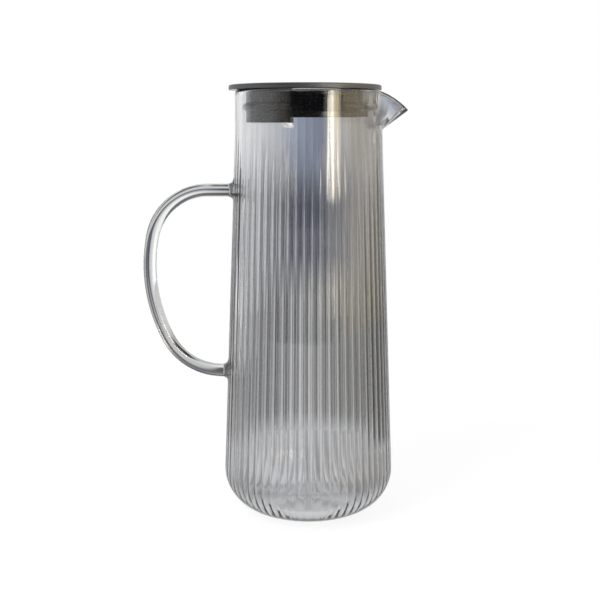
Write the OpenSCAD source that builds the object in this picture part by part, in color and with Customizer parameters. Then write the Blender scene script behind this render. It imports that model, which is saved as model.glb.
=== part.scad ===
// Ribbed glass jug with a bent glass rod handle, a pulled pouring beak and a lid that lifts and turns.
// Frame: +Z up, origin at the centre of the foot. The beak points along +X and the handle along -X.

/* [Glass body] */
// Height of the rim, away from the beak
glass_h = 257; // [225:1:290]
// Outer radius of the smooth neck
neck_r = 43.9; // [40:0.1:48]
// Height of the neck, from the rim down to the widening wall
neck_h = 23; // [20:0.5:32]
// Outer radius at the widest place, over the ribs
belly_r = 52.3; // [49:0.1:56]
// Radius of the rounded edge under the belly
corner_r = 25.4; // [18:0.2:30]
// Glass thickness at the neck
neck_wall = 4.4; // [3.6:0.1:4.8]
// Glass thickness at the belly, over the ribs
belly_wall = 4.2; // [3.4:0.1:5.2]
// Glass thickness of the floor
floor_t = 5; // [3:0.1:9]
// Height of the rounding on the rim
rim_round = 1.6; // [0.8:0.1:2.4]

/* [Ribs] */
// Number of ribs round the body
rib_n = 62; // [48:1:64]
// Depth of the grooves between the ribs
rib_depth = 0.55; // [0.3:0.05:1.4]
// Height over which the grooves fade out below the neck
rib_fade_h = 70; // [25:1:100]

/* [Beak] */
// How far the beak reaches out from the neck
beak_reach = 15.2; // [10:0.2:20]
// How far the rim dips at the tip of the beak
beak_drop = 10.2; // [5:0.2:14]
// Half of the angle that the beak takes up in the rim, in degrees
beak_half_angle = 30; // [22:1:38]

/* [Handle] */
// Radius of the glass rod
rod_r = 4; // [3:0.1:5]
// How far the rod's centre lies below the rim at the upper weld
handle_below_rim = 59; // [50:0.5:66]
// Height between the two welds, centre to centre
handle_drop = 111.4; // [104:0.2:120]
// Farthest distance of the rod's centre from the wall at the lower weld
handle_reach = 47; // [43:0.2:51]
// Radius of the fillet at each weld
weld_fillet = 3.2; // [1.5:0.1:5]
// Depth that each rod end is fused into the glass wall
weld_bite = 2; // [1:0.1:2.6]
// Straight run of the rod between the lower weld's fillet and the bend
lower_run = 0.2; // [0.1:0.1:3]

/* [Lid] */
// Radius of the steel cap
cap_r = 45.3; // [44.6:0.1:50]
// Height of the steel cap
cap_h = 2.8; // [2:0.1:5]
// Thickness of the cap's sheet steel
cap_sheet = 0.6; // [0.4:0.05:0.9]
// How far the cap stands off the plug's centre, towards the handle
cap_offset = 1.5; // [0:0.1:2.5]
// How far the lid lies off the jug's axis, towards the handle
lid_shift = 0.7; // [0:0.1:1.2]
// Depth of the plug on the handle's side
plug_deep = 19; // [17:0.2:24]
// Depth of the plug on the beak's side
plug_short = 15.7; // [14.5:0.1:16.6]
// Thickness of the plug's skirt
plug_wall = 2.2; // [1.4:0.1:3]
// How far the lips stand out from the skirt
lip_out = 1.9; // [0.8:0.1:2.4]
// Number of upright flutes inside the wall across from the pour window
flute_n = 6; // [4:1:8]
// Depth of the flutes in the skirt's inner side
flute_depth = 0.9; // [0.4:0.1:1]

/* [Hidden] */
$fn = 96;
overrun = 1;

// Seats and running gaps of the lid
seat_gap = 0.2;
bore_gap = 0.3;
turn_gap = 0.3;
cap_fit = 0.1;
cap_round = 1;

// Sizes of the lid that follow the mouth
bore_r = neck_r - neck_wall;
lid_z = glass_h + seat_gap;
lip_r = bore_r - bore_gap - lid_shift;
plug_r = lip_r - lip_out;
core_r = cap_r - cap_sheet - cap_fit;
core_h = cap_h - cap_sheet;

// The seal's groove, just under the cap
seal_h = 2.3;
seal_bite = 1;
seal_land = 0.1;
seal_nose = 1.1;

// Panels and windows of the plug: angles are counted from the beak, in degrees
window_start = 58;
window_turn = 47;
flute_gap_turn = 2.8;
window_drop = 3.3;
window_h = 9.6;
lip_mid_drop = 10.1;
lip_half_h = 2.6;
lip_steps = 10;
foot_band_h = 3;
foot_band_out = 0.3;

// Bends of the handle: turns in degrees, radii as shares of one bend size
upper_turn = 78.2;
lower_turn = 63;
upper_bend_share = 0.78;
lower_bend_share = 0.836;

// Facets of the rod: sides round it, steps along each bend and each weld's fillet
rod_sides = 24;
upper_steps = 12;
grip_steps = 9;
lower_steps = 11;
fillet_steps = 5;

// Shape of the beak: exponents of its two tapers, and how soft its tip is
beak_side_power = 1.6;
beak_drop_power = 2.1;
beak_soft_share = 0.08;

// Rows of the glass skin, as shares of the stretch that they divide
corner_shares = [0.2, 0.4, 0.6, 0.8];
fade_shares = [0, 0.25, 0.5, 0.75];
neck_shares = [0.34, 0.67, 1];
rib_shares = [0, 0.75, 1, 0.75];
rim_edge_shares = [0.15, 0.3];
corner_rib_share = 0.4;

steps = len(rib_shares);
outer_n = steps * rib_n;
column_turn = 360 / outer_n;
neck_z = glass_h - neck_h;
fade_z = neck_z - rib_fade_h;
middle_z = (corner_r + fade_z) / 2;
foot_r = belly_r - corner_r;

// Outer radius of the glass over the ribs, above the rounded edge
function skin_r(z) = z >= neck_z ? neck_r
    : belly_r + (neck_r - belly_r) * (z - corner_r) / (neck_z - corner_r);

// How much of a groove's depth is cut at one column
function groove(column, share) = rib_depth * share * (1 - rib_shares[column % steps]);

// 1 at the beak's ridge, 0 where the beak ends in the round rim
function beak_taper(turn) =
    let (from_ridge = min(abs(turn), abs(turn - 360)) / beak_half_angle,
         soft = beak_soft_share,
         run = (sqrt(pow(from_ridge, 2) + pow(soft, 2)) - soft) / (sqrt(1 + pow(soft, 2)) - soft))
    max(0, 1 - run);

function beak_out(turn) = beak_reach * pow(beak_taper(turn), beak_side_power);
function edge_z(turn) = glass_h - beak_drop * pow(beak_taper(turn), beak_drop_power);

function on_circle(r, turn, z) = [r * cos(turn), r * sin(turn), z];

// Row on the rounded edge under the belly: share 0 is the foot, share 1 the belly
function corner_row(share) =
    [for (i = [0 : outer_n - 1])
        let (cut = groove(i, min(1, share / corner_rib_share)), r = corner_r - cut)
        on_circle(foot_r + r * sin(90 * share), i * column_turn, corner_r - r * cos(90 * share))];

// Row on the widening wall at one height
function wall_row(z, rib_share) =
    [for (i = [0 : outer_n - 1]) on_circle(skin_r(z) - groove(i, rib_share), i * column_turn, z)];

// Point of the neck and beak. share runs up the neck, inset is into the glass, and down is below the edge
function neck_point(turn, share, inset, down) =
    let (z = neck_z + share * (edge_z(turn) - rim_round - neck_z))
    on_circle(neck_r + share * beak_out(turn) - inset, turn, z + share * (rim_round - down));

function neck_row(count, share, inset, down) =
    [for (i = [0 : count - 1]) neck_point(i * 360 / count, share, inset, down)];

// Row of the bore at one height of the widening wall, and on the inner rounded edge
function bore_row(r, z) = [for (i = [0 : rib_n - 1]) on_circle(r, i * 360 / rib_n, z)];
function inner_corner_row(share) =
    bore_row(foot_r + (corner_r - belly_wall) * sin(90 * share),
             corner_r - (corner_r - floor_t) * cos(90 * share));

// Smooth fade of the grooves from the wall up to the neck
function fade(share) = 1 - pow(share, 2) * (3 - 2 * share);

outer_rows = concat(
    [corner_row(0)],
    [for (s = corner_shares) corner_row(s)],
    [corner_row(1), wall_row(middle_z, 1)],
    [for (s = fade_shares) wall_row(fade_z + s * rib_fade_h, fade(s))],
    [wall_row(neck_z, 0)],
    [for (s = neck_shares) neck_row(outer_n, s, 0, rim_round)],
    [neck_row(outer_n, 1, rim_edge_shares[0] * neck_wall, rim_edge_shares[1] * rim_round)],
    [neck_row(outer_n, 1, neck_wall / 2, 0)]);

inner_rows = concat(
    [neck_row(rib_n, 1, (1 - rim_edge_shares[0]) * neck_wall, rim_edge_shares[1] * rim_round)],
    [for (k = [len(neck_shares) - 1 : -1 : 0]) neck_row(rib_n, neck_shares[k], neck_wall, rim_round)],
    [bore_row(bore_r, neck_z), bore_row(belly_r - belly_wall, corner_r)],
    [for (k = [len(corner_shares) - 1 : -1 : 0]) inner_corner_row(corner_shares[k])],
    [inner_corner_row(0)]);

// Faces between two rows of count points that start at the indices a and b
function strip(a, b, count) =
    [for (i = [0 : count - 1])
        let (j = (i + 1) % count)
        each [[a + i, b + i, b + j], [a + i, b + j, a + j]]];

// Faces between a fine row at a and a coarse row at b, steps fine points to one coarse one
function seam(a, b) =
    [for (j = [0 : rib_n - 1])
        let (next = (j + 1) % rib_n, middle = floor(steps / 2))
        each concat(
            [[a + steps * j + middle, b + j, b + next]],
            [for (k = [0 : steps - 1])
                [a + steps * j + k, b + (k < middle ? j : next), a + (steps * j + k + 1) % outer_n]])];

outer_count = len(outer_rows);
inner_count = len(inner_rows);
inner_start = outer_count * outer_n;
floor_start = inner_start + (inner_count - 1) * rib_n;

glass_points = concat(
    [for (row = outer_rows) each row],
    [for (row = inner_rows) each row]);

glass_faces = concat(
    [[for (i = [0 : outer_n - 1]) i]],
    [for (k = [0 : outer_count - 2]) each strip(k * outer_n, (k + 1) * outer_n, outer_n)],
    seam((outer_count - 1) * outer_n, inner_start),
    [for (k = [0 : inner_count - 2])
        each strip(inner_start + k * rib_n, inner_start + (k + 1) * rib_n, rib_n)],
    [[for (i = [rib_n - 1 : -1 : 0]) floor_start + i]]);

module glass_body() {
    color([0.56, 0.58, 0.62, 0.5])
    polyhedron(points = glass_points, faces = glass_faces, convexity = 6);
}

// The handle runs level out of the upper weld, round three tangent bends and level into the lower weld
handle_top_z = glass_h - handle_below_rim;
handle_low_z = handle_top_z - handle_drop;
upper_end = 90 + upper_turn;
lower_start = 270 - lower_turn;

// The bend size solves the height between the welds and the reach together: grip_r = tall_r - wide * bend_size
grip_rise = sin(upper_end) - sin(lower_start);
tall_r = handle_drop / grip_rise;
wide = (upper_bend_share * (1 - sin(upper_end)) + lower_bend_share * (1 + sin(lower_start))) / grip_rise;
bend_size = (handle_reach - weld_fillet - lower_run - tall_r * (1 + cos(lower_start)))
    / (-wide * (1 + cos(lower_start)) - lower_bend_share * cos(lower_start));
upper_r = upper_bend_share * bend_size;
lower_r = lower_bend_share * bend_size;
grip_r = tall_r - wide * bend_size;
lower_x = -skin_r(handle_low_z) - weld_fillet - lower_run;
grip_x = lower_x - (grip_r - lower_r) * cos(lower_start);
upper_x = grip_x + (grip_r - upper_r) * cos(upper_end);
upper_mid_z = handle_top_z - upper_r;
grip_z = upper_mid_z - (grip_r - upper_r) * sin(upper_end);
lower_mid_z = handle_low_z + lower_r;

// Stations of the rod: [x, z, turn of the bend there, rod radius]. Turns are counted from +X towards +Z
function bend_stations(x, z, bend_r, from, to, count) =
    [for (k = [0 : count])
        let (turn = from + (to - from) * k / count)
        [x + bend_r * cos(turn), z + bend_r * sin(turn), turn, rod_r]];

// Stations of one weld, from the rod's end inside the glass out along its fillet
function weld_stations(z, turn) = concat(
    [[weld_bite - skin_r(z), z, turn, rod_r + weld_fillet]],
    [for (k = [0 : fillet_steps])
        let (fall = 90 * k / fillet_steps)
        [-skin_r(z) - weld_fillet * (1 - cos(fall)), z, turn, rod_r + weld_fillet * (1 - sin(fall))]]);

function backwards(list) = [for (k = [len(list) - 1 : -1 : 0]) list[k]];

rod_stations = concat(
    weld_stations(handle_top_z, 90),
    bend_stations(upper_x, upper_mid_z, upper_r, 90, upper_end, upper_steps),
    bend_stations(grip_x, grip_z, grip_r, upper_end + (lower_start - upper_end) / grip_steps,
                  lower_start, grip_steps - 1),
    bend_stations(lower_x, lower_mid_z, lower_r, lower_start + lower_turn / lower_steps,
                  270, lower_steps - 1),
    backwards(weld_stations(handle_low_z, 270)));

rod_points = [for (s = rod_stations) for (i = [0 : rod_sides - 1])
    let (side = 360 * i / rod_sides)
    [s[0] + s[3] * cos(side) * cos(s[2]), s[3] * sin(side), s[1] + s[3] * cos(side) * sin(s[2])]];

rod_end = (len(rod_stations) - 1) * rod_sides;
rod_faces = concat(
    [[for (i = [0 : rod_sides - 1]) i]],
    [for (k = [0 : len(rod_stations) - 2]) each strip(k * rod_sides, (k + 1) * rod_sides, rod_sides)],
    [[for (i = [rod_sides - 1 : -1 : 0]) rod_end + i]]);

module handle() {
    color([0.82, 0.84, 0.86, 0.6])
    polyhedron(points = rod_points, faces = rod_faces, convexity = 6);
}

// Pressed sheet steel cap, open below, with a rounded top edge
module lid_cap() {
    color("dimgray")
    translate([-lid_shift - cap_offset, 0, lid_z])
    difference() {
        rotate_extrude()
        union() {
            square([cap_r, cap_h - cap_round]);
            square([cap_r - cap_round, cap_h]);
            translate([cap_r - cap_round, cap_h - cap_round])
            circle(r = cap_round);
        }
        translate([0, 0, -overrun])
        cylinder(r = cap_r - cap_sheet, h = core_h + overrun);
    }
}

// Turned cutter between two heights, from inside the skirt out to a radius, over part of a turn
module skirt_cut(low, high, start, turn, outer) {
    inner = plug_r - plug_wall - overrun;
    rotate([0, 0, start])
    rotate_extrude(angle = turn)
    translate([inner, low])
    square([outer - inner, high - low]);
}

// Outer edge of the rounded lip, from its lower to its upper end
bulge_r = (pow(lip_half_h, 2) + pow(lip_out, 2)) / (2 * lip_out);
bulge_turn = asin(lip_half_h / bulge_r);
lip_edge = [for (k = [0 : lip_steps])
    let (turn = bulge_turn * (2 * k / lip_steps - 1))
    [lip_r - bulge_r + bulge_r * cos(turn), bulge_r * sin(turn) - lip_mid_drop]];

skirt_edge = concat(
    [[plug_r - plug_wall, core_h / 2], [plug_r - plug_wall, -plug_deep],
     [plug_r + foot_band_out, -plug_deep], [plug_r + foot_band_out, foot_band_h - plug_deep],
     [plug_r, foot_band_h - plug_deep]],
    lip_edge,
    [[plug_r, -seal_h], [plug_r - seal_bite, -seal_h], [plug_r - seal_bite, core_h / 2]]);

module lid_plug() {
    panel_start = window_start + window_turn;
    flute_turn = (window_turn - (flute_n + 1) * flute_gap_turn) / flute_n;
    through_r = lip_r + overrun;
    color([0.16, 0.15, 0.14, 0.9])
    translate([0, 0, lid_z])
    union() {
        translate([-lid_shift - cap_offset, 0, 0])
        cylinder(r = core_r, h = core_h);
        translate([-lid_shift, 0, 0])
        difference() {
            rotate_extrude()
            polygon(skirt_edge);
            skirt_cut(-plug_deep - overrun, -plug_short, -panel_start, 2 * panel_start, through_r);
            skirt_cut(-window_drop - window_h, -window_drop, -panel_start, window_turn, through_r);
            for (i = [0 : flute_n - 1])
                skirt_cut(-plug_short - overrun, -window_drop,
                          window_start + flute_gap_turn + i * (flute_turn + flute_gap_turn), flute_turn,
                          plug_r - plug_wall + flute_depth);
        }
    }
}

// Soft ring in the groove under the cap, with a rounded nose towards the glass
module seal_ring() {
    ring_h = seal_h - turn_gap - seal_land;
    color([0.8, 0.82, 0.84, 0.7])
    translate([-lid_shift, 0, lid_z - seal_h + turn_gap])
    rotate_extrude()
    union() {
        translate([plug_r - seal_bite + turn_gap, 0])
        square([lip_r - seal_nose - plug_r + seal_bite - turn_gap, ring_h]);
        intersection() {
            translate([lip_r - seal_nose, ring_h / 2])
            circle(r = seal_nose);
            translate([plug_r, 0])
            square([lip_out + overrun, ring_h]);
        }
    }
}

glass_body();
handle();
lid_cap();
lid_plug();
seal_ring();
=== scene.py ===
from math import atan2, cos, hypot, pi, radians, sin, sqrt

import bmesh
import bpy
from mathutils import Matrix, Vector


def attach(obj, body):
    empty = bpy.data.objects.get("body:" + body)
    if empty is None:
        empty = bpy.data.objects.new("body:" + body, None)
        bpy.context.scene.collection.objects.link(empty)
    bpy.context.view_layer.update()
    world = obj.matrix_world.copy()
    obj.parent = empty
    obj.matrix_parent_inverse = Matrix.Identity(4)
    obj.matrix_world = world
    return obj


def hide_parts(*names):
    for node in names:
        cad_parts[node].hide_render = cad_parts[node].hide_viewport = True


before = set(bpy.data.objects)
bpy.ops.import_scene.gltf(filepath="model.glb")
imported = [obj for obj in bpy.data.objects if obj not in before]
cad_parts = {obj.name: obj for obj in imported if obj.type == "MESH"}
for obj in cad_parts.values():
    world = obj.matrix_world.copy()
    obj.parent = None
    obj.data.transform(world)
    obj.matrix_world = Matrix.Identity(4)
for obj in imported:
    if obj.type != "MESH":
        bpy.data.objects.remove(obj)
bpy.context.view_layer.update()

# Ribbed smoked glass jug with a rod handle and a turning lid. Metres, +Z up, beak on +X, handle on -X.
scene = bpy.context.scene


# Turns a bmesh into a smooth piece that rides on a body and stands for a CAD node.
def finishPiece(name, bm, material, body, replaced):
    mesh = bpy.data.meshes.new(name)
    bm.to_mesh(mesh)
    bm.free()
    for face in mesh.polygons:
        face.use_smooth = True
    piece = bpy.data.objects.new(name, mesh)
    scene.collection.objects.link(piece)
    mesh.materials.append(material)
    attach(piece, body)
    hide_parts(replaced)


def newMaterial(name):
    material = bpy.data.materials.new(name)
    material.use_nodes = True
    nodes = material.node_tree.nodes
    nodes.clear()
    output = nodes.new("ShaderNodeOutputMaterial")
    shader = nodes.new("ShaderNodeBsdfPrincipled")
    material.node_tree.links.new(shader.outputs["BSDF"], output.inputs["Surface"])
    return material, nodes, material.node_tree.links, shader, output


noiseLook = {"detail": 3.0, "low": 0.3, "high": 0.7}  # the noise seldom leaves low to high


# Soft noise between 0 and 1 on object coordinates.
def mottleGroup():
    group = bpy.data.node_groups.new("softMottle", "ShaderNodeTree")
    group.interface.new_socket("Scale", in_out="INPUT", socket_type="NodeSocketFloat")
    group.interface.new_socket("Stretch", in_out="INPUT", socket_type="NodeSocketFloat")
    group.interface.new_socket("Mask", in_out="OUTPUT", socket_type="NodeSocketFloat")
    nodes, links = group.nodes, group.links
    given = nodes.new("NodeGroupInput")
    result = nodes.new("NodeGroupOutput")
    place = nodes.new("ShaderNodeTexCoord")
    split = nodes.new("ShaderNodeSeparateXYZ")
    lower = nodes.new("ShaderNodeMath")
    lower.operation = "MULTIPLY"
    joined = nodes.new("ShaderNodeCombineXYZ")
    noise = nodes.new("ShaderNodeTexNoise")
    noise.inputs["Detail"].default_value = noiseLook["detail"]
    links.new(place.outputs["Object"], split.inputs["Vector"])
    links.new(split.outputs["X"], joined.inputs["X"])
    links.new(split.outputs["Y"], joined.inputs["Y"])
    links.new(split.outputs["Z"], lower.inputs[0])
    links.new(given.outputs["Stretch"], lower.inputs[1])
    links.new(lower.outputs["Value"], joined.inputs["Z"])
    links.new(joined.outputs["Vector"], noise.inputs["Vector"])
    links.new(given.outputs["Scale"], noise.inputs["Scale"])
    links.new(noise.outputs["Fac"], result.inputs["Mask"])
    return group


softMottle = mottleGroup()


def mottle(nodes, scale, stretch):
    node = nodes.new("ShaderNodeGroup")
    node.node_tree = softMottle
    node.inputs["Scale"].default_value = scale
    node.inputs["Stretch"].default_value = stretch
    return node.outputs["Mask"]


# Maps a noise mask on to the range from low to high.
def spread(nodes, links, source, low, high):
    node = nodes.new("ShaderNodeMapRange")
    node.inputs["From Min"].default_value = noiseLook["low"]
    node.inputs["From Max"].default_value = noiseLook["high"]
    node.inputs["To Min"].default_value = low
    node.inputs["To Max"].default_value = high
    links.new(source, node.inputs["Value"])
    return node.outputs["Result"]


# Mixes two colours by a mask.
def tint(nodes, links, source, low, high):
    node = nodes.new("ShaderNodeMix")
    node.data_type = "RGBA"
    node.inputs["A"].default_value = (*low, 1)
    node.inputs["B"].default_value = (*high, 1)
    links.new(source, node.inputs["Factor"])
    return node.outputs["Result"]


def bump(nodes, links, source, strength, distance):
    node = nodes.new("ShaderNodeBump")
    node.inputs["Strength"].default_value = strength
    node.inputs["Distance"].default_value = distance
    links.new(source, node.inputs["Height"])
    return node.outputs["Normal"]


# Broad and fine are the scale and the stretch of the noise in both glasses.
glass = {"ior": 1.5, "broad": (22.0, 0.35), "fine": (140.0, 0.6), "uneven": 0.12, "waveDepth": 0.001}
bodyGlass = {"rim": (0.97, 0.972, 0.975), "foot": (0.85, 0.853, 0.86), "roughness": (0.0, 0.02),
             "absorbed": (0.76, 0.765, 0.775), "density": 160.0, "waviness": 0.08,
             "tintHeights": (0.03, 0.24)}
rodGlass = {"rim": (0.965, 0.967, 0.97), "foot": (0.95, 0.953, 0.956), "roughness": (0.0, 0.01),
            "absorbed": (0.85, 0.852, 0.853), "density": 250.0, "waviness": 0.05,
            "tintHeights": (0.08, 0.2)}


# Clear skin tinted by height, over an absorbing inside.
def glassMaterial(name, look):
    material, nodes, links, shader, output = newMaterial(name)
    shader.inputs["Transmission Weight"].default_value = 1.0
    shader.inputs["IOR"].default_value = glass["ior"]
    broad = mottle(nodes, *glass["broad"])
    place = nodes.new("ShaderNodeTexCoord")
    split = nodes.new("ShaderNodeSeparateXYZ")
    height = nodes.new("ShaderNodeMapRange")
    height.inputs["From Min"].default_value = look["tintHeights"][0]
    height.inputs["From Max"].default_value = look["tintHeights"][1]
    uneven = nodes.new("ShaderNodeMath")
    uneven.operation = "ADD"
    uneven.use_clamp = True
    links.new(place.outputs["Object"], split.inputs["Vector"])
    links.new(split.outputs["Z"], height.inputs["Value"])
    links.new(height.outputs["Result"], uneven.inputs[0])
    links.new(spread(nodes, links, broad, -glass["uneven"], glass["uneven"]), uneven.inputs[1])
    links.new(tint(nodes, links, uneven.outputs["Value"], look["foot"], look["rim"]),
              shader.inputs["Base Color"])
    fine = mottle(nodes, *glass["fine"])
    links.new(spread(nodes, links, fine, *look["roughness"]), shader.inputs["Roughness"])
    links.new(bump(nodes, links, broad, look["waviness"], glass["waveDepth"]), shader.inputs["Normal"])
    inside = nodes.new("ShaderNodeVolumeAbsorption")
    inside.inputs["Color"].default_value = (*look["absorbed"], 1)
    inside.inputs["Density"].default_value = look["density"]
    links.new(inside.outputs["Volume"], output.inputs["Volume"])
    return material


smokedGlass = glassMaterial("smokedGlass", bodyGlass)
handleGlass = glassMaterial("handleGlass", rodGlass)
print("glass mixed")

jug = {"height": 0.257, "neckRadius": 0.0439, "neckHeight": 0.023, "bellyRadius": 0.0523,
       "cornerRadius": 0.0254, "neckWall": 0.0044, "bellyWall": 0.0042, "floor": 0.005, "rimRound": 0.0016,
       "ribs": 62, "ribDepth": 0.0005, "ribPower": 2.8, "fadeHeight": 0.07, "neckRibShare": 0.05,
       "neckFadePower": 6, "cornerFadePower": 1.6, "columnsPerRib": 12,
       "beakReach": 0.0152, "beakDrop": 0.0102, "beakHalfAngle": radians(30), "tipSoftness": 0.08,
       "sidePower": 1.6, "dropPower": 2.1, "hubShare": 0.5, "plainShare": 0.9, "cornerRows": 16,
       "wallRows": 8, "fadeRows": 12, "neckRows": 8, "rimRows": 12, "boreRows": 10, "bowlRows": 12}
hair = 1e-6  # points nearer than this are one
neckStart = jug["height"] - jug["neckHeight"]
fadeStart = neckStart - jug["fadeHeight"]
rimStart = jug["height"] - jug["rimRound"]
footRadius = jug["bellyRadius"] - jug["cornerRadius"]
boreRadius = jug["neckRadius"] - jug["neckWall"]


def skinRadius(z):
    share = min(1, (z - jug["cornerRadius"]) / (neckStart - jug["cornerRadius"]))
    return jug["bellyRadius"] + (jug["neckRadius"] - jug["bellyRadius"]) * share


def evenly(start, end, count):
    return [start + (end - start) * i / count for i in range(count + 1)]


# Outer wall from the foot's centre up to the rim, then down the bore to the floor's centre.
def jugProfile():
    line = [(0, 0), (footRadius * jug["hubShare"], 0)]
    line += [(footRadius + jug["cornerRadius"] * sin(a), jug["cornerRadius"] * (1 - cos(a)))
             for a in evenly(0, pi / 2, jug["cornerRows"])]
    line += [(skinRadius(z), z) for z in evenly(jug["cornerRadius"], fadeStart, jug["wallRows"])[1:]]
    line += [(skinRadius(z), z) for z in evenly(fadeStart, neckStart, jug["fadeRows"])[1:]]
    line += [(jug["neckRadius"], z) for z in evenly(neckStart, rimStart, jug["neckRows"])[1:]]
    middle = jug["neckRadius"] - jug["neckWall"] / 2
    line += [(middle + jug["neckWall"] / 2 * cos(a), rimStart + jug["rimRound"] * sin(a))
             for a in evenly(0, pi, jug["rimRows"])[1:]]
    line += [(boreRadius, z) for z in evenly(rimStart, neckStart, jug["neckRows"])[1:]]
    belly = jug["bellyRadius"] - jug["bellyWall"]
    line += [(boreRadius + (belly - boreRadius) * (neckStart - z) / (neckStart - jug["cornerRadius"]), z)
             for z in evenly(neckStart, jug["cornerRadius"], jug["boreRows"])[1:]]
    line += [(footRadius + (belly - footRadius) * cos(a),
              jug["cornerRadius"] - (jug["cornerRadius"] - jug["floor"]) * sin(a))
             for a in evenly(0, pi / 2, jug["bowlRows"])[1:]]
    line += [(footRadius * jug["hubShare"], jug["floor"]), (0, jug["floor"])]
    return line


# Share of the groove's depth at one place round the body: 1 in a groove, 0 on a rib.
def ribCut(turn):
    phase = (turn * jug["ribs"] / (2 * pi)) % 1
    return abs(2 * phase - 1) ** jug["ribPower"]


# 1 on the beak's ridge, 0 where the beak ends in the round rim.
def beakTaper(turn):
    away = abs(turn) / jug["beakHalfAngle"]
    soft = jug["tipSoftness"]
    return max(0, 1 - (sqrt(away ** 2 + soft ** 2) - soft) / (sqrt(1 + soft ** 2) - soft))


# Cuts the grooves into the outer skin and pulls the beak out of the rim.
def shapeJug(bm):
    for vert in bm.verts:
        x, y, z = vert.co
        radius = hypot(x, y)
        if radius < footRadius * jug["plainShare"]:
            continue
        turn = atan2(y, x)
        if z > neckStart + hair:
            taper = beakTaper(turn)
            share = min(1, (z - neckStart) / (rimStart - neckStart))
            edge = jug["height"] - jug["beakDrop"] * taper ** jug["dropPower"]
            z = neckStart + share * (edge - jug["rimRound"] - neckStart) + max(0, z - rimStart)
            wider = 1 + share * jug["beakReach"] * taper ** jug["sidePower"] / radius
            if radius > jug["neckRadius"] - jug["neckWall"] / 2:
                faint = jug["neckRibShare"] * (1 - share ** jug["neckFadePower"])
                wider -= jug["ribDepth"] * faint * ribCut(turn) / radius
            vert.co = (x * wider, y * wider, z)
        elif z > jug["cornerRadius"]:
            if radius < skinRadius(z) - jug["bellyWall"] / 2:
                continue
            share = max(0, (z - fadeStart) / jug["fadeHeight"])
            faded = (1 - jug["neckRibShare"]) * share ** 2 * (3 - 2 * share)  # soft at both ends
            depth = jug["ribDepth"] * ribCut(turn) * (1 - faded)
            vert.co = (x * (1 - depth / radius), y * (1 - depth / radius), z)
        else:
            across, down = radius - footRadius, jug["cornerRadius"] - z
            reach = hypot(across, down)
            if reach < jug["cornerRadius"] - hair:
                continue
            share = max(0, atan2(across, down) / (pi / 2))
            depth = jug["ribDepth"] * ribCut(turn) * share ** jug["cornerFadePower"]
            narrower = (footRadius + across * (1 - depth / reach)) / radius
            vert.co = (x * narrower, y * narrower, jug["cornerRadius"] - down * (1 - depth / reach))


def makeJug():
    bm = bmesh.new()
    verts = [bm.verts.new((r, 0, z)) for r, z in jugProfile()]
    edges = [bm.edges.new(pair) for pair in zip(verts, verts[1:])]
    bmesh.ops.spin(bm, geom=verts + edges, cent=(0, 0, 0), axis=(0, 0, 1), dvec=(0, 0, 0), angle=2 * pi,
                   steps=jug["ribs"] * jug["columnsPerRib"], use_merge=True, use_duplicate=False)
    bmesh.ops.remove_doubles(bm, verts=bm.verts, dist=hair)
    shapeJug(bm)
    bmesh.ops.recalc_face_normals(bm, faces=bm.faces)
    finishPiece("ribbedJug", bm, smokedGlass, "jug", "glass_body")


makeJug()
print("jug blown")

# Each bend has its radius, its angle in degrees and its steps, from the upper weld round to the lower one.
rod = {"radius": 0.004, "sides": 32, "fillet": 0.0032, "bite": 0.002, "filletSteps": 8,
       "topHeight": 0.198, "lowHeight": 0.0866, "bendStart": -0.060891,
       "bends": [(0.034636, 78.2, 20), (0.096551, 38.8, 16), (0.0371227, 63.0, 18)]}


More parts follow.
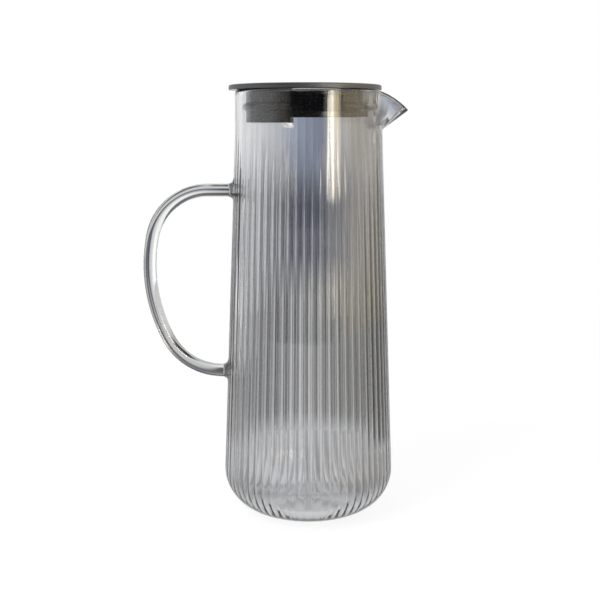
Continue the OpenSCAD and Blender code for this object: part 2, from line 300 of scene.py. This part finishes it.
def makeHandle():
    bm = bmesh.new()

    # Extrudes the open end to x and scales it about the rod's middle.
    def stretchTo(ring, x, grow):
        made = bmesh.ops.extrude_edge_only(bm, edges=[g for g in ring if isinstance(g, bmesh.types.BMEdge)])
        verts = [g for g in made["geom"] if isinstance(g, bmesh.types.BMVert)]
        middle = sum((v.co for v in verts), Vector()) / len(verts)
        bmesh.ops.scale(bm, verts=verts, vec=(1, grow, grow), space=Matrix.Translation(-middle))
        bmesh.ops.translate(bm, verts=verts, vec=(x - middle.x, 0, 0))
        edges = [g for g in made["geom"] if isinstance(g, bmesh.types.BMEdge)
                 and all(v in verts for v in g.verts)]
        return verts + edges

    # Places and radii of the rings of one weld, from inside the glass out to the rod.
    def weldSteps(z):
        wall = skinRadius(z)
        flare = [(-wall - rod["fillet"] * (1 - cos(a)), rod["radius"] + rod["fillet"] * (1 - sin(a)))
                 for a in evenly(0, pi / 2, rod["filletSteps"])]
        return [(rod["bite"] - wall, rod["radius"] + rod["fillet"])] + flare

    # From a bend's centre out to the rod, after so many degrees.
    def outward(degrees):
        return Vector((-sin(radians(degrees)), 0, cos(radians(degrees))))

    steps = weldSteps(rod["topHeight"])
    start = Matrix.Translation((steps[0][0], 0, rod["topHeight"])) @ Matrix.Rotation(pi / 2, 4, "Y")
    made = bmesh.ops.create_circle(bm, cap_ends=False, segments=rod["sides"], radius=steps[0][1],
                                   matrix=start)
    ring = made["verts"] + list({edge for vert in made["verts"] for edge in vert.link_edges})
    for before, after in zip(steps, steps[1:]):
        ring = stretchTo(ring, after[0], after[1] / before[1])
    ring = stretchTo(ring, rod["bendStart"], 1)
    reached, turned = Vector((rod["bendStart"], 0, rod["topHeight"])), 0
    for radius, angle, count in rod["bends"]:
        centre = reached - outward(turned) * radius
        spun = bmesh.ops.spin(bm, geom=ring, cent=centre, axis=(0, -1, 0), dvec=(0, 0, 0),
                              angle=radians(angle), steps=count, use_merge=False, use_duplicate=False)
        ring = spun["geom_last"]
        turned += angle
        reached = centre + outward(turned) * radius
    steps = list(reversed(weldSteps(rod["lowHeight"])))
    ring = stretchTo(ring, steps[0][0], 1)
    for before, after in zip(steps, steps[1:]):
        ring = stretchTo(ring, after[0], after[1] / before[1])
    bmesh.ops.remove_doubles(bm, verts=bm.verts, dist=hair)
    bmesh.ops.holes_fill(bm, edges=bm.edges, sides=0)
    bmesh.ops.recalc_face_normals(bm, faces=bm.faces)
    finishPiece("rodHandle", bm, handleGlass, "jug", "handle")


makeHandle()
print("handle bent")

capLook = {"light": (0.121, 0.123, 0.13), "dark": (0.05, 0.051, 0.054), "middle": (-0.0022, 0, 0),
           "brushing": 5200.0, "detail": 2.0, "strength": 0.35, "depth": 0.0002, "roughness": (0.36, 0.52),
           "metallic": 0.75}
plugLook = {"light": (0.024, 0.023, 0.021), "dark": (0.012, 0.0115, 0.011), "drift": 60.0, "grain": 900.0,
            "strength": 0.15, "depth": 0.0002, "roughness": (0.2, 0.32), "coat": 0.2}
sealLook = {"light": (0.66, 0.67, 0.68), "dark": (0.55, 0.56, 0.57), "drift": 60.0, "grain": 1400.0,
            "strength": 0.15, "depth": 0.0002, "roughness": (0.42, 0.6), "coat": 0.0}


# Dark coated steel, brushed round the middle of the cap.
def capMaterial():
    material, nodes, links, shader, _ = newMaterial("brushedCap")
    place = nodes.new("ShaderNodeTexCoord")
    centred = nodes.new("ShaderNodeMapping")
    centred.inputs["Location"].default_value = [-part for part in capLook["middle"]]
    split = nodes.new("ShaderNodeSeparateXYZ")
    flat = nodes.new("ShaderNodeVectorMath")
    flat.operation = "MULTIPLY"
    flat.inputs[1].default_value = (1, 1, 0)
    length = nodes.new("ShaderNodeVectorMath")
    length.operation = "LENGTH"
    reach = nodes.new("ShaderNodeMath")
    reach.operation = "ADD"
    scaled = nodes.new("ShaderNodeMath")
    scaled.operation = "MULTIPLY"
    scaled.inputs[1].default_value = capLook["brushing"]
    around = nodes.new("ShaderNodeVectorMath")
    around.operation = "NORMALIZE"
    noise = nodes.new("ShaderNodeTexNoise")
    noise.noise_dimensions = "4D"
    noise.inputs["Scale"].default_value = 1.0
    noise.inputs["Detail"].default_value = capLook["detail"]
    links.new(place.outputs["Object"], centred.inputs["Vector"])
    links.new(centred.outputs["Vector"], flat.inputs[0])
    links.new(centred.outputs["Vector"], split.inputs["Vector"])
    links.new(flat.outputs["Vector"], length.inputs[0])
    links.new(flat.outputs["Vector"], around.inputs[0])
    links.new(length.outputs["Value"], reach.inputs[0])
    links.new(split.outputs["Z"], reach.inputs[1])
    links.new(reach.outputs["Value"], scaled.inputs[0])
    links.new(around.outputs["Vector"], noise.inputs["Vector"])
    links.new(scaled.outputs["Value"], noise.inputs["W"])
    lines = noise.outputs["Fac"]
    links.new(tint(nodes, links, spread(nodes, links, lines, 0, 1), capLook["dark"], capLook["light"]),
              shader.inputs["Base Color"])
    links.new(spread(nodes, links, lines, *capLook["roughness"]), shader.inputs["Roughness"])
    links.new(bump(nodes, links, lines, capLook["strength"], capLook["depth"]), shader.inputs["Normal"])
    shader.inputs["Metallic"].default_value = capLook["metallic"]
    return material


# Moulded plastic or silicone: soft colour drift, uneven gloss and a fine grain.
def plainMaterial(name, look):
    material, nodes, links, shader, _ = newMaterial(name)
    broad = mottle(nodes, look["drift"], 1.0)
    fine = mottle(nodes, look["grain"], 1.0)
    links.new(tint(nodes, links, spread(nodes, links, broad, 0, 1), look["dark"], look["light"]),
              shader.inputs["Base Color"])
    links.new(spread(nodes, links, fine, *look["roughness"]), shader.inputs["Roughness"])
    links.new(bump(nodes, links, fine, look["strength"], look["depth"]), shader.inputs["Normal"])
    shader.inputs["Coat Weight"].default_value = look["coat"]
    return material


# Gives a CAD node its finish.
def dress(node, material):
    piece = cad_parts[node]
    piece.data.materials.clear()
    piece.data.materials.append(material)


dress("lid_cap", capMaterial())
dress("lid_plug", plainMaterial("blackPlastic", plugLook))
dress("seal_ring", plainMaterial("paleSilicone", sealLook))
print("lid finished")


def stageMaterial(name):
    material = bpy.data.materials.new(name)
    material.use_nodes = True
    material.node_tree.nodes.clear()
    return material, material.node_tree.nodes, material.node_tree.links


# 1 for what the camera, a gloss or the glass sees, 0 for light that falls on a surface.
def lookingRay(nodes, links):
    path = nodes.new("ShaderNodeLightPath")
    first = nodes.new("ShaderNodeMath")
    first.operation = "MAXIMUM"
    second = nodes.new("ShaderNodeMath")
    second.operation = "MAXIMUM"
    links.new(path.outputs["Is Camera Ray"], first.inputs[0])
    links.new(path.outputs["Is Glossy Ray"], first.inputs[1])
    links.new(first.outputs["Value"], second.inputs[0])
    links.new(path.outputs["Is Transmission Ray"], second.inputs[1])
    return second.outputs["Value"]


# share is how much of the floor glows, glow how bright it looks and throughGlass the same in the glass.
floorLook = {"radius": 0.76, "drop": 0.0002, "sides": 96, "paint": (0.9, 0.9, 0.9), "share": 0.84,
             "glow": 1.07, "throughGlass": 0.8}


def makeFloor():
    bm = bmesh.new()
    bmesh.ops.create_circle(bm, cap_ends=True, segments=floorLook["sides"], radius=floorLook["radius"],
                            matrix=Matrix.Translation((0, 0, -floorLook["drop"])))
    mesh = bpy.data.meshes.new("floor")
    bm.to_mesh(mesh)
    bm.free()
    floor = bpy.data.objects.new("floor", mesh)
    scene.collection.objects.link(floor)
    material, nodes, links = stageMaterial("paleFloor")
    output = nodes.new("ShaderNodeOutputMaterial")
    matte = nodes.new("ShaderNodeBsdfDiffuse")
    matte.inputs["Color"].default_value = (*floorLook["paint"], 1)
    glow = nodes.new("ShaderNodeEmission")
    glow.inputs["Color"].default_value = (1, 1, 1, 1)
    share = nodes.new("ShaderNodeMath")
    share.operation = "MULTIPLY"
    share.inputs[1].default_value = floorLook["share"]
    path = nodes.new("ShaderNodeLightPath")
    level = nodes.new("ShaderNodeMapRange")
    level.inputs["To Min"].default_value = floorLook["glow"]
    level.inputs["To Max"].default_value = floorLook["throughGlass"]
    links.new(path.outputs["Is Transmission Ray"], level.inputs["Value"])
    links.new(level.outputs["Result"], glow.inputs["Strength"])
    mixed = nodes.new("ShaderNodeMixShader")
    links.new(lookingRay(nodes, links), share.inputs[0])
    links.new(share.outputs["Value"], mixed.inputs["Fac"])
    links.new(matte.outputs["BSDF"], mixed.inputs[1])
    links.new(glow.outputs["Emission"], mixed.inputs[2])
    links.new(mixed.outputs["Shader"], output.inputs["Surface"])
    mesh.materials.append(material)


roomLook = {"light": 0.62, "seen": 1.0}  # its light on the object, and how bright it looks


def makeWorld():
    world = bpy.data.worlds.new("studioRoom")
    scene.world = world
    world.use_nodes = True
    nodes, links = world.node_tree.nodes, world.node_tree.links
    nodes.clear()
    output = nodes.new("ShaderNodeOutputWorld")
    room = nodes.new("ShaderNodeBackground")
    room.inputs["Color"].default_value = (1, 1, 1, 1)
    room.inputs["Strength"].default_value = roomLook["light"]
    white = nodes.new("ShaderNodeBackground")
    white.inputs["Color"].default_value = (1, 1, 1, 1)
    white.inputs["Strength"].default_value = roomLook["seen"]
    mixed = nodes.new("ShaderNodeMixShader")
    links.new(lookingRay(nodes, links), mixed.inputs["Fac"])
    links.new(room.outputs["Background"], mixed.inputs[1])
    links.new(white.outputs["Background"], mixed.inputs[2])
    links.new(mixed.outputs["Shader"], output.inputs["Surface"])


keyLamp = {"watts": 12.0, "size": (0.7, 0.7), "colour": (1.0, 0.99, 0.98), "place": (-0.8, -0.8, 1.2),
           "aim": (0, 0, 0.14)}


def makeKeyLight():
    data = bpy.data.lights.new("keyLight", "AREA")
    data.shape = "RECTANGLE"
    data.size, data.size_y = keyLamp["size"]
    data.energy = keyLamp["watts"]
    data.color = keyLamp["colour"]
    lamp = bpy.data.objects.new("keyLight", data)
    scene.collection.objects.link(lamp)
    lamp.location = keyLamp["place"]
    aim = Vector(keyLamp["aim"]) - Vector(keyLamp["place"])
    lamp.rotation_euler = aim.to_track_quat("-Z", "Y").to_euler()
    lamp.visible_glossy = lamp.visible_transmission = False  # no picture of the lamp in the glass


# Cards of the studio: six stand round the jug and one lies just over the floor, from footDistance out; its
# bright and dark radial stripes are painted caustic light and painted shadow of the ribbed glass.
# Azimuths are degrees from the camera's side, to the right. Colours go from the first azimuth to the last,
# levels from the bottom to the top. Lower colours give way to the others between the two blend heights.
cards = {
    "farCard": {"azimuths": (100, 260), "distance": 0.8, "heights": (0.0, 0.9), "rear": True,
                "colours": [(100, (0.2, 0.19, 0.18)), (140, (0.45, 0.42, 0.38)), (155, (0.5, 0.48, 0.44)),
                            (163, (0.4, 0.38, 0.36)), (169, (0.36, 0.35, 0.34)), (174, (0.55, 0.53, 0.52)),
                            (176, (0.36, 0.38, 0.46)), (178.5, (0.35, 0.38, 0.48)),
                            (180.5, (0.43, 0.48, 0.6)), (182.5, (0.54, 0.58, 0.68)),
                            (185.7, (0.66, 0.69, 0.74)), (190, (0.9, 0.9, 0.91)), (196, (1.25, 1.25, 1.26)),
                            (225, (1.3, 1.3, 1.3)), (240, (0.9, 0.9, 0.9)), (260, (0.5, 0.5, 0.5))],
                "lower": [(100, (0.1, 0.1, 0.09)), (138, (0.25, 0.23, 0.2)), (150, (0.46, 0.44, 0.39)),
                          (160, (0.46, 0.44, 0.41)), (166, (0.22, 0.22, 0.24)), (173, (0.12, 0.14, 0.19)),
                          (178, (0.12, 0.13, 0.18)), (186, (0.12, 0.13, 0.16)), (189.5, (0.26, 0.27, 0.3)),
                          (192, (0.76, 0.77, 0.79)), (198, (0.9, 0.9, 0.91)), (206, (0.95, 0.95, 0.95)),
                          (212, (1.45, 1.45, 1.45)), (228, (1.55, 1.55, 1.55)), (240, (0.8, 0.8, 0.8)),
                          (260, (0.5, 0.5, 0.5))],
                "blend": (0.12, 0.22), "levels": [(0.0, 1.0), (0.33, 1.0), (0.4, 0.15), (0.9, 0.15)]},
    "nearCard": {"azimuths": (95, 212), "distance": 0.16, "heights": (0.0, 0.14), "rear": True,
                 "colours": [(95, (0.05, 0.05, 0.04)), (128, (0.08, 0.075, 0.06)),
                             (133, (0.52, 0.485, 0.41)), (146, (0.52, 0.485, 0.415)),
                             (150, (0.04, 0.04, 0.035)), (156, (0.04, 0.04, 0.035)),
                             (160, (0.46, 0.44, 0.4)), (168, (0.46, 0.44, 0.41)),
                             (171, (0.08, 0.08, 0.075)), (177, (0.13, 0.13, 0.125)),
                             (181, (0.95, 0.95, 0.94)), (189, (0.88, 0.88, 0.88)),
                             (192, (0.04, 0.04, 0.045)), (198, (0.04, 0.04, 0.045)),
                             (201, (0.17, 0.17, 0.17)), (205, (0.17, 0.17, 0.17)),
                             (209, (0.8, 0.8, 0.8)), (212, (0.8, 0.8, 0.8))],
                 "levels": [(0.0, 1.25), (0.02, 1.0), (0.05, 0.93), (0.14, 0.93)],
                 "edges": [(0.0, 0.2), (0.015, 1.0), (0.105, 1.0), (0.14, 0.0)]},
    "nearLeftCard": {"azimuths": (212, 262), "distance": 0.16, "heights": (0.0, 0.075), "rear": True,
                     "colours": [(212, (0.8, 0.8, 0.8)), (221, (0.85, 0.85, 0.85)), (225, (0.03, 0.03, 0.03)),
                                 (236, (0.03, 0.03, 0.03)), (241, (0.75, 0.75, 0.75)),
                                 (262, (0.03, 0.03, 0.03))],
                     "levels": [(0.0, 1.2), (0.02, 1.0), (0.075, 1.0)],
                     "edges": [(0.0, 0.2), (0.015, 1.0), (0.06, 1.0), (0.075, 0.0)]},
    # Lies under the foot and is seen only through the glass: its bright and dark radial stripes are painted
    # caustic light and painted shadow that the ribbed glass casts on the floor.
    "paintedCausticCard": {"azimuths": (95, 455), "distance": 0.16, "footDistance": 0.004,
                   "heights": (-0.00015, -0.00005), "rear": True,
                   "colours": [(95, (0.4, 0.39, 0.37)), (128, (0.5, 0.48, 0.45)), (138, (1.0, 0.97, 0.92)),
                               (147, (0.4, 0.39, 0.37)), (155, (1.0, 0.98, 0.95)), (163, (0.7, 0.69, 0.67)),
                               (170, (0.45, 0.45, 0.44)), (177, (0.6, 0.6, 0.6)), (183, (1.15, 1.15, 1.15)),
                               (190, (0.9, 0.9, 0.9)), (197, (0.4, 0.4, 0.41)), (204, (1.1, 1.1, 1.1)),
                               (222, (0.9, 0.9, 0.9)), (232, (0.4, 0.4, 0.4)), (245, (0.8, 0.8, 0.8)),
                               (265, (0.4, 0.4, 0.4)), (290, (0.75, 0.75, 0.75)), (315, (0.9, 0.9, 0.9)),
                               (360, (1.0, 1.0, 1.0)), (405, (0.9, 0.9, 0.9)), (430, (0.75, 0.75, 0.75)),
                               (455, (0.4, 0.39, 0.37))],
                   "lower": [(95, (0.75, 0.75, 0.74)), (130, (1.0, 1.0, 0.98)), (150, (0.6, 0.6, 0.6)),
                             (165, (1.0, 1.0, 0.98)), (180, (0.7, 0.7, 0.7)), (195, (1.0, 1.0, 1.0)),
                             (210, (0.6, 0.6, 0.6)), (230, (1.0, 1.0, 1.0)), (265, (0.7, 0.7, 0.7)),
                             (300, (1.0, 1.0, 1.0)), (325, (0.6, 0.6, 0.6)), (345, (1.0, 1.0, 1.0)),
                             (360, (0.7, 0.7, 0.7)), (375, (1.0, 1.0, 1.0)), (395, (0.6, 0.6, 0.6)),
                             (420, (1.0, 1.0, 1.0)), (455, (0.75, 0.75, 0.74))],
                   "blend": (-0.000136, -0.00013),
                   "levels": [(-0.00015, 1.0), (-0.00013, 1.1), (-0.0001, 1.0), (-0.00005, 1.0)]},
    "frontCard": {"azimuths": (-80, 23), "distance": 0.9, "heights": (0.0, 0.9), "rear": False,
                  "colours": [(-80, (1.0, 1.0, 1.0)), (-58, (0.9, 0.88, 0.87)), (-45, (0.48, 0.44, 0.425)),
                              (-34, (0.34, 0.31, 0.3)), (-28, (0.04, 0.04, 0.045)),
                              (23, (0.03, 0.035, 0.045))],
                  "levels": [(0.0, 1.0), (0.9, 1.0)]},
    "stripCard": {"azimuths": (29, 49), "distance": 1.2, "heights": (0.0, 0.95), "rear": False,
                  "colours": [(29, (8.0, 6.9, 4.4)), (33, (15.0, 14.3, 12.4)), (36, (17.0, 16.4, 14.8)),
                              (40, (9.0, 7.7, 5.2)), (49, (4.5, 3.9, 2.6))],
                  "levels": [(0.0, 0.2), (0.035, 0.3), (0.05, 0.4), (0.11, 0.1), (0.195, 0.12), (0.215, 0.9),
                             (0.95, 1.0)]},
    "warmCard": {"azimuths": (52, 125), "distance": 0.9, "heights": (0.0, 0.9), "rear": False,
                 "colours": [(52, (1.5, 1.28, 0.88)), (125, (1.3, 1.16, 0.9))],
                 "levels": [(0.0, 1.0), (0.9, 1.0)]}}


cardMesh = {"steps": 48, "levelRange": 2}  # levels up to levelRange times a card's own colours


# Light of its own, coloured along the card's UV map.
def cardMaterial(name, card):
    material, nodes, links = stageMaterial(name)
    output = nodes.new("ShaderNodeOutputMaterial")
    glow = nodes.new("ShaderNodeEmission")
    place = nodes.new("ShaderNodeUVMap")
    place.uv_map = "card"
    split = nodes.new("ShaderNodeSeparateXYZ")
    links.new(place.outputs["UV"], split.inputs["Vector"])
    brightest = max(max(colour) for _, colour in card["colours"])

    def ramp(axis, span, stops):
        node = nodes.new("ShaderNodeValToRGB")
        elements = node.color_ramp.elements
        elements[0].position, elements[1].position = 0, 1
        elements[0].color, elements[1].color = (*stops[0][1], 1), (*stops[-1][1], 1)
        for stop, colour in stops[1:-1]:
            elements.new((stop - span[0]) / (span[1] - span[0])).color = (*colour, 1)
        links.new(split.outputs[axis], node.inputs["Fac"])
        return node.outputs["Color"]

    def along(colours):
        return ramp("X", card["azimuths"], [(a, [part / brightest for part in c]) for a, c in colours])

    across = along(card["colours"])
    if "lower" in card:
        low, high = card["heights"]
        fade = nodes.new("ShaderNodeMapRange")
        fade.interpolation_type = "SMOOTHSTEP"
        fade.inputs["From Min"].default_value = (card["blend"][0] - low) / (high - low)
        fade.inputs["From Max"].default_value = (card["blend"][1] - low) / (high - low)
        both = nodes.new("ShaderNodeMix")
        both.data_type = "RGBA"
        links.new(split.outputs["Y"], fade.inputs["Value"])
        links.new(fade.outputs["Result"], both.inputs["Factor"])
        links.new(along(card["lower"]), both.inputs["A"])
        links.new(across, both.inputs["B"])
        across = both.outputs["Result"]
    strength = nodes.new("ShaderNodeMath")
    strength.operation = "MULTIPLY"
    strength.inputs[1].default_value = brightest * cardMesh["levelRange"]
    levels = [(z, [level / cardMesh["levelRange"]] * 3) for z, level in card["levels"]]
    links.new(ramp("Y", card["heights"], levels), strength.inputs[0])
    links.new(across, glow.inputs["Color"])
    links.new(strength.outputs["Value"], glow.inputs["Strength"])
    if "edges" in card:
        # Soft upper and lower edges: how solid the card is at each height.
        clear = nodes.new("ShaderNodeBsdfTransparent")
        soft = nodes.new("ShaderNodeMixShader")
        solid = [(z, [share] * 3) for z, share in card["edges"]]
        links.new(ramp("Y", card["heights"], solid), soft.inputs["Fac"])
        links.new(clear.outputs["BSDF"], soft.inputs[1])
        links.new(glow.outputs["Emission"], soft.inputs[2])
        links.new(soft.outputs["Shader"], output.inputs["Surface"])
    else:
        links.new(glow.outputs["Emission"], output.inputs["Surface"])
    return material


# A curved card: one edge spun round the jug's axis. Each face takes its UV from its own side of the seam.
def makeCard(name, card):
    bm = bmesh.new()
    first, last = (radians(a - 90) for a in card["azimuths"])
    wide = last - first
    low, high = card["heights"]
    ends = [bm.verts.new((card.get("footDistance", card["distance"]), 0, low)),
            bm.verts.new((card["distance"], 0, high))]
    edge = bm.edges.new(ends)
    bmesh.ops.rotate(bm, verts=ends, cent=(0, 0, 0), matrix=Matrix.Rotation(first, 3, "Z"))
    bmesh.ops.spin(bm, geom=ends + [edge], cent=(0, 0, 0), axis=(0, 0, 1), dvec=(0, 0, 0), angle=wide,
                   steps=cardMesh["steps"], use_merge=False, use_duplicate=False)
    layer = bm.loops.layers.uv.new("card")
    for face in bm.faces:
        x, y, z = face.calc_center_median()
        middle = (atan2(y, x) - first) % (2 * pi)
        for loop in face.loops:
            x, y, z = loop.vert.co
            along = middle + (atan2(y, x) - first - middle + pi) % (2 * pi) - pi
            loop[layer].uv = (along / wide, (z - low) / (high - low))
    mesh = bpy.data.meshes.new(name)
    bm.to_mesh(mesh)
    bm.free()
    mesh.materials.append(cardMaterial(name, card))
    piece = bpy.data.objects.new(name, mesh)
    scene.collection.objects.link(piece)
    piece.visible_camera = piece.visible_diffuse = piece.visible_shadow = False
    piece.visible_glossy = not card["rear"]  # the rear ones are only for what the glass bends


makeFloor()
makeWorld()
for cardName, card in cards.items():
    makeCard(cardName, card)
makeKeyLight()
print("studio lit")

# The lens is in mm and the pitch in degrees below level.
view = {"lens": 61.32, "sensor": 36.0, "nearest": 0.01, "eye": (-0.0052, -0.61905, 0.23641), "pitch": 9.683,
        "glassBounces": 24, "glossBounces": 8}
cameraData = bpy.data.cameras.new("photoCamera")
cameraData.lens = view["lens"]
cameraData.sensor_width = view["sensor"]
cameraData.clip_start = view["nearest"]
camera = bpy.data.objects.new("photoCamera", cameraData)
scene.collection.objects.link(camera)
camera.location = view["eye"]
camera.rotation_euler = (radians(90 - view["pitch"]), 0, 0)
scene.camera = camera
scene.view_settings.view_transform = "Standard"
scene.cycles.max_bounces = scene.cycles.transmission_bounces = view["glassBounces"]
scene.cycles.glossy_bounces = view["glossBounces"]
print("camera set")
